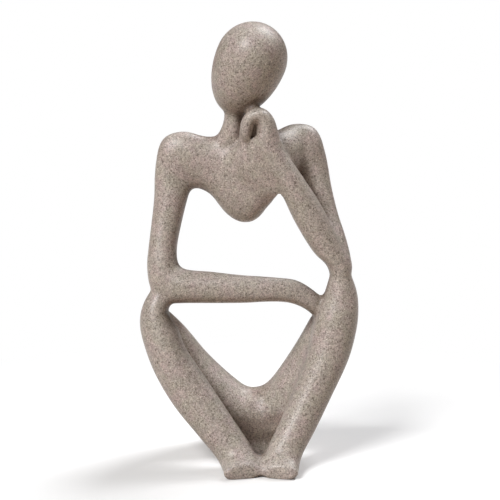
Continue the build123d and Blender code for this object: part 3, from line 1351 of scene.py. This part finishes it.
@dataclass(frozen=True)
class SandstoneResin:
    """Cast resin coloured like sandstone: grains of umber and chalk in a mottled pale brown.

    Cloud and salt shade the colour between two levels. Painted shade darkens the hollows and a
    painted highlight pales the proud edges. Each _grit is what a mask adds to the roughness, and
    each _height what it adds to the relief.
    """

    roughness: float = 0.56
    lacquer: float = 0.38
    lacquer_roughness: float = 0.34

    apart: tuple[float, float, float] = (0.31, 0.17, 0.43)
    rose: Blotches = Blotches(9.0, 0.6, strength=0.5)
    moss: Blotches = Blotches(7.0, 0.6, strength=0.4)
    cloud: Blotches = Blotches(2.4, 0.7)
    cloud_levels: tuple[float, float] = (0.92, 1.06)
    salt: Blotches = Blotches(0.85, 0.9, detail=1.0)
    salt_levels: tuple[float, float] = (0.8, 1.2)
    dark: Grains = Grains(0.85, 0.30, 0.5, 0.62)
    pepper: Grains = Grains(1.35, 0.10, 0.6, 0.6)
    chalk: Grains = Grains(0.8, 0.24, 0.5, 0.75)
    # painted shade in the hollows, deepest where the hollow attribute is 1
    hollow_shade: PaintedReliefLight = PaintedReliefLight("hollow", 2.0, 0.5, 1.0)
    # painted highlight along the proud edges, where the edge attribute is high
    edge_highlight: PaintedReliefLight = PaintedReliefLight("edge", 1.4, 0.6, 0.3)

    salt_grit: float = 0.12
    dark_grit: float = 0.1
    hollow_shade_grit: float = 0.15
    edge_highlight_grit: float = -0.08

    grain_height: float = 0.09
    grain_strength: float = 0.6
    salt_height: float = 0.6
    chalk_height: float = 0.5
    dark_height: float = -0.5
    pepper_height: float = -0.7

    def material(self, effects: Effects) -> bpy.types.Material:
        """Build the finish.

        Args:
            effects: the shared patterns.

        Returns:
            The material.
        """
        material, board, shader = blank_material("sandstone_resin", Tone.STONE, self.roughness)
        place = board.add("ShaderNodeTexCoord").outputs["Object"]
        apart = board.vector("ADD", first=place, second=self.apart)
        rose = self.rose.mask(board, effects, place)
        moss = self.moss.mask(board, effects, apart)
        cloud = self.cloud.mask(board, effects, place)
        salt = self.salt.mask(board, effects, apart)
        dark = self.dark.mask(board, effects, place)
        pepper = self.pepper.mask(board, effects, apart)
        chalk = self.chalk.mask(board, effects, apart)
        hollow_shade = self.hollow_shade.mask(board, effects, place)
        edge_highlight = self.edge_highlight.mask(board, effects, apart)

        colour = board.lay(Tone.STONE.paint(), Tone.ROSE, rose, self.rose.strength)
        colour = board.lay(colour, Tone.MOSS, moss, self.moss.strength)
        # painted highlight: the proud edges are laid paler
        colour = board.lay(colour, Tone.EDGE_HIGHLIGHT, edge_highlight, self.edge_highlight.strength)
        colour = board.lay(colour, Tone.CHALK, chalk, self.chalk.strength)
        cloud_shade = board.ramp(cloud, 0.0, 1.0, *self.cloud_levels)
        salt_shade = board.ramp(salt, 0.0, 1.0, *self.salt_levels)
        shade = board.math("MULTIPLY", cloud_shade, salt_shade)
        grey = board.add("ShaderNodeCombineColor", {"Red": shade, "Green": shade, "Blue": shade})
        colour = board.mix(1.0, colour, grey.outputs["Color"], "MULTIPLY")
        colour = board.lay(colour, Tone.UMBER, dark, self.dark.strength)
        colour = board.lay(colour, Tone.UMBER, pepper, self.pepper.strength)
        # painted shade: the hollows are multiplied darker and browner
        hollow_shade_share = board.math("MULTIPLY", hollow_shade, self.hollow_shade.strength)
        colour = board.mix(hollow_shade_share, colour, Tone.HOLLOW_SHADE.paint(), "MULTIPLY")
        board.wire(colour, shader.inputs["Base Color"])

        shader.inputs["Coat Weight"].default_value = self.lacquer
        shader.inputs["Coat Roughness"].default_value = self.lacquer_roughness
        grit = board.total(
            self.roughness - self.salt_grit / 2,
            (salt, self.salt_grit),
            (dark, self.dark_grit),
            (hollow_shade, self.hollow_shade_grit),
            (edge_highlight, self.edge_highlight_grit),
        )
        board.wire(grit, shader.inputs["Roughness"])

        height = board.total(
            0.0,
            (chalk, self.chalk_height),
            (salt, self.salt_height),
            (dark, self.dark_height),
            (pepper, self.pepper_height),
        )
        normal = board.bump(height, self.grain_strength, self.grain_height)
        board.wire(normal, shader.inputs["Normal"])
        return material


@dataclass(frozen=True)
class DrawnSteel:
    """Bright steel rod, with the faint lines along it that drawing through a die leaves.

    The turn carries the upright onto the rod's own axis, and the draw is how much longer the lines
    are than they are wide.
    """

    turn: tuple[float, float, float] = (0.0, 0.0, 0.0)
    roughness: float = 0.3
    draw: float = 100 / 3
    lines: Blotches = Blotches(0.16, 0.8, detail=3.0, strength=0.4)
    line_strength: float = 0.3
    line_height: float = 0.02
    line_grit: float = 0.12
    dull: Blotches = Blotches(3.0, 0.6)
    dull_grit: float = 0.12
    glue: Grains = Grains(1.6, 0.08, 0.6, 0.5)
    glue_grit: float = 0.3

    def material(self, name: str, effects: Effects) -> bpy.types.Material:
        """Build the finish.

        Args:
            name: the material's name.
            effects: the shared patterns.

        Returns:
            The material.
        """
        material, board, shader = blank_material(name, Tone.STEEL, self.roughness)
        shader.inputs["Metallic"].default_value = 1.0
        place = board.add("ShaderNodeTexCoord").outputs["Object"]
        drawn = board.mapped(place, self.turn, (1.0, 1.0, self.draw), "TEXTURE")
        lines = self.lines.mask(board, effects, drawn)
        dull = self.dull.mask(board, effects, place)
        glue = self.glue.mask(board, effects, place)
        colour = board.lay(Tone.STEEL.paint(), Tone.DULL_STEEL, lines, self.lines.strength)
        colour = board.lay(colour, Tone.CHALK, glue, self.glue.strength)
        board.wire(colour, shader.inputs["Base Color"])
        grit = board.total(
            self.roughness, (lines, self.line_grit), (dull, self.dull_grit), (glue, self.glue_grit)
        )
        board.wire(grit, shader.inputs["Roughness"])
        board.wire(board.bump(lines, self.line_strength, self.line_height), shader.inputs["Normal"])
        return material


@dataclass(frozen=True)
class PressedFelt:
    """Dark felt of pressed fibres that cross each other, with pale lint."""

    roughness: float = 0.9
    sheen: float = 0.25
    shine: float = 0.2
    fibres: Blotches = Blotches(0.22, 0.9, strength=0.4)
    thin: float = 0.18
    ways: tuple[float, float] = (0.6, -0.9)
    lint: Grains = Grains(0.8, 0.12, 0.7, 0.5)
    matted: Blotches = Blotches(3.5, 0.6)
    matted_grit: float = 0.08
    nap: float = 0.15
    nap_strength: float = 0.8

    def material(self, effects: Effects) -> bpy.types.Material:
        """Build the finish.

        Args:
            effects: the shared patterns.

        Returns:
            The material.
        """
        material, board, shader = blank_material("pressed_felt", Tone.FELT, self.roughness)
        shader.inputs["Sheen Weight"].default_value = self.sheen
        shader.inputs["Specular IOR Level"].default_value = self.shine
        place = board.add("ShaderNodeTexCoord").outputs["Object"]
        one_way = board.mapped(place, (0.0, 0.0, self.ways[0]), (1.0, self.thin, 1.0))
        other_way = board.mapped(place, (0.0, 0.0, self.ways[1]), (self.thin, 1.0, 1.0))
        fibres = self.fibres.mask(board, effects, one_way)
        crossing = self.fibres.mask(board, effects, other_way)
        lint = self.lint.mask(board, effects, one_way)
        matted = self.matted.mask(board, effects, place)
        pile = board.math("MAXIMUM", fibres, crossing)
        share = board.total(0.0, (pile, self.fibres.strength), (lint, self.lint.strength))
        colour = board.mix(share, Tone.FELT.paint(), Tone.LINT.paint())
        board.wire(colour, shader.inputs["Base Color"])
        grit = board.total(self.roughness, (matted, self.matted_grit))
        board.wire(grit, shader.inputs["Roughness"])
        board.wire(board.bump(pile, self.nap_strength, self.nap), shader.inputs["Normal"])
        return material


@dataclass(frozen=True)
class PaleFloor:
    """A pale floor that holds the figure's shadow and fades to white away from it.

    The fade starts and ends at two distances from the middle, in metres.
    """

    roughness: float = 0.9
    fade_from: float = 0.08
    fade_to: float = 0.3

    def material(self) -> bpy.types.Material:
        """Build the finish.

        Returns:
            The material.
        """
        material, board, shader = blank_material("pale_floor", Tone.FLOOR, self.roughness)
        seen = board.seen_by("Is Camera Ray", "Is Glossy Ray", "Is Transmission Ray")
        colour = board.mix(seen, Tone.FLOOR_BOUNCE.paint(), Tone.FLOOR.paint())
        board.wire(colour, shader.inputs["Base Color"])
        place = board.add("ShaderNodeTexCoord").outputs["Object"]
        reach = board.add("ShaderNodeVectorMath", {0: place}, operation="LENGTH").outputs["Value"]
        fade = board.math("MULTIPLY", board.ramp(reach, self.fade_from, self.fade_to), seen)
        glow = board.add("ShaderNodeEmission").outputs["Emission"]
        mix = board.add("ShaderNodeMixShader", {"Fac": fade, 1: shader.outputs["BSDF"], 2: glow})
        board.wire(mix.outputs["Shader"], board.tree.nodes["Material Output"].inputs["Surface"])
        return material


class Lamp(NamedTuple):
    """A wide soft light: where it comes from, how wide it looks in degrees, its strength and its
    colour.
    """

    source: tuple[float, float, float]
    spread: float
    strength: float
    colour: tuple[float, float, float] = (1.0, 1.0, 1.0)


@dataclass(frozen=True)
class Studio:
    """The floor, the lights and the camera.

    The lens and the sensor are in millimetres, and so are the camera's distance from its target and
    the target. The floor's half width is in metres.
    """

    lens: float = 120.0
    sensor: float = 36.0
    distance: float = 987.0
    elevation: float = math.radians(10.0)
    target: tuple[float, float, float] = (0.0, 0.0, 125.2)
    nearest: float = 0.05
    floor_size: float = 6.0
    key: Lamp = Lamp((-0.6, -0.75, 0.9), 28.0, 3.15)
    top: Lamp = Lamp((0.45, 0.4, 0.85), 34.0, 2.6, (0.97, 0.98, 1.0))
    fill: float = 0.045
    fill_colour: tuple[float, float, float] = (1.0, 0.8, 0.64)
    backdrop: float = 1.0
    backdrop_colour: tuple[float, float, float] = (1.0, 1.0, 1.0)

    def camera(self) -> None:
        """Place the camera as the photograph was taken."""
        data = bpy.data.cameras.new("camera")
        data.lens = self.lens
        data.sensor_width = self.sensor
        data.clip_start = self.nearest
        camera = bpy.data.objects.new("camera", data)
        back = Vector((0.0, -math.cos(self.elevation), math.sin(self.elevation)))
        camera.location = metres(self.target) + back * self.distance * MM
        camera.rotation_euler = (math.pi / 2 - self.elevation, 0.0, 0.0)
        bpy.context.scene.collection.objects.link(camera)
        bpy.context.scene.camera = camera

    def floor(self) -> None:
        """Lay a plain pale floor."""
        work = bmesh.new()
        bmesh.ops.create_grid(work, x_segments=1, y_segments=1, size=self.floor_size)
        mesh = bpy.data.meshes.new("floor")
        work.to_mesh(mesh)
        work.free()
        floor = bpy.data.objects.new("floor", mesh)
        bpy.context.scene.collection.objects.link(floor)
        mesh.materials.append(PaleFloor().material())

    def shine(self, name: str, lamp: Lamp) -> None:
        """Shine a lamp on the figure.

        Args:
            name: the lamp's name.
            lamp: the lamp.
        """
        data = bpy.data.lights.new(name, "SUN")
        data.angle = math.radians(lamp.spread)
        data.energy = lamp.strength
        data.color = lamp.colour
        sun = bpy.data.objects.new(name, data)
        sun.location = lamp.source
        sun.rotation_euler = (-Vector(lamp.source)).to_track_quat("-Z", "Y").to_euler()
        bpy.context.scene.collection.objects.link(sun)

    def surroundings(self) -> None:
        """Fill the shadows softly from all round, in front of a white backdrop."""
        world = bpy.data.worlds.new("world")
        bpy.context.scene.world = world
        world.use_nodes = True
        board = Board(world.node_tree)
        seen = board.seen_by("Is Camera Ray", "Is Transmission Ray")
        level = board.total(self.fill, (seen, self.backdrop - self.fill))
        colour = board.mix(seen, (*self.fill_colour, 1.0), (*self.backdrop_colour, 1.0))
        backing = world.node_tree.nodes["Background"]
        board.wire(level, backing.inputs["Strength"])
        board.wire(colour, backing.inputs["Color"])

    def build(self) -> None:
        """Make the whole studio."""
        self.camera()
        self.floor()
        self.shine("key", self.key)
        self.shine("top", self.top)
        self.surroundings()
        bpy.context.scene.view_settings.view_transform = "Standard"


@dataclass(frozen=True)
class Fittings:
    """The steel dowels that pin the castings together, and the felt pads under them."""

    dowel_turns: tuple[tuple[str, tuple[float, float, float]], ...] = (
        ("neck_dowel", (0.0, 0.0, 0.0)),
        ("right_shoulder_dowel", (-0.1, 0.1, 0.0)),
        ("left_shoulder_dowel", (-0.2, -0.2, 0.0)),
        ("right_elbow_dowel", (0.0, 0.34, 0.0)),
        ("left_elbow_dowel", (0.0, 0.0, 0.0)),
    )
    pads: tuple[str, ...] = ("seat_pad", "right_foot_pad", "left_foot_pad")

    def dress(self, effects: Effects) -> None:
        """Give the carried-over nodes their finishes.

        Args:
            effects: the shared patterns.
        """
        for name, turn in self.dowel_turns:
            steel = DrawnSteel(turn).material(f"drawn_steel_{name}", effects)
            self.finish(name, steel)
        felt = PressedFelt().material(effects)
        for name in self.pads:
            self.finish(name, felt)

    def finish(self, name: str, material: bpy.types.Material) -> None:
        """Give a node a material.

        Args:
            name: the node's name.
            material: the material.
        """
        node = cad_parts[name]
        node.data.materials.clear()
        node.data.materials.append(material)
        LOG.info("%s is finished in %s", name, material.name)


def main() -> None:
    """Build the studio and the figure, and report each piece."""
    logging.basicConfig(level=logging.INFO, format="%(name)s: %(message)s")
    Studio().build()
    effects = Effects()
    stone = SandstoneResin().material(effects)
    for name, piece in Figure(Foundry(VOXEL)).castings().items():
        piece.name = f"{name}_casting"
        piece.data.materials.clear()
        piece.data.materials.append(stone)
        piece.data.shade_smooth()
        piece.data.set_sharp_from_angle(angle=math.radians(CRISP))
        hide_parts(name)
        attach(piece, BODY)
        LOG.info("%s has %d faces", piece.name, len(piece.data.polygons))
    Fittings().dress(effects)


if __name__ == "__main__":
    main()
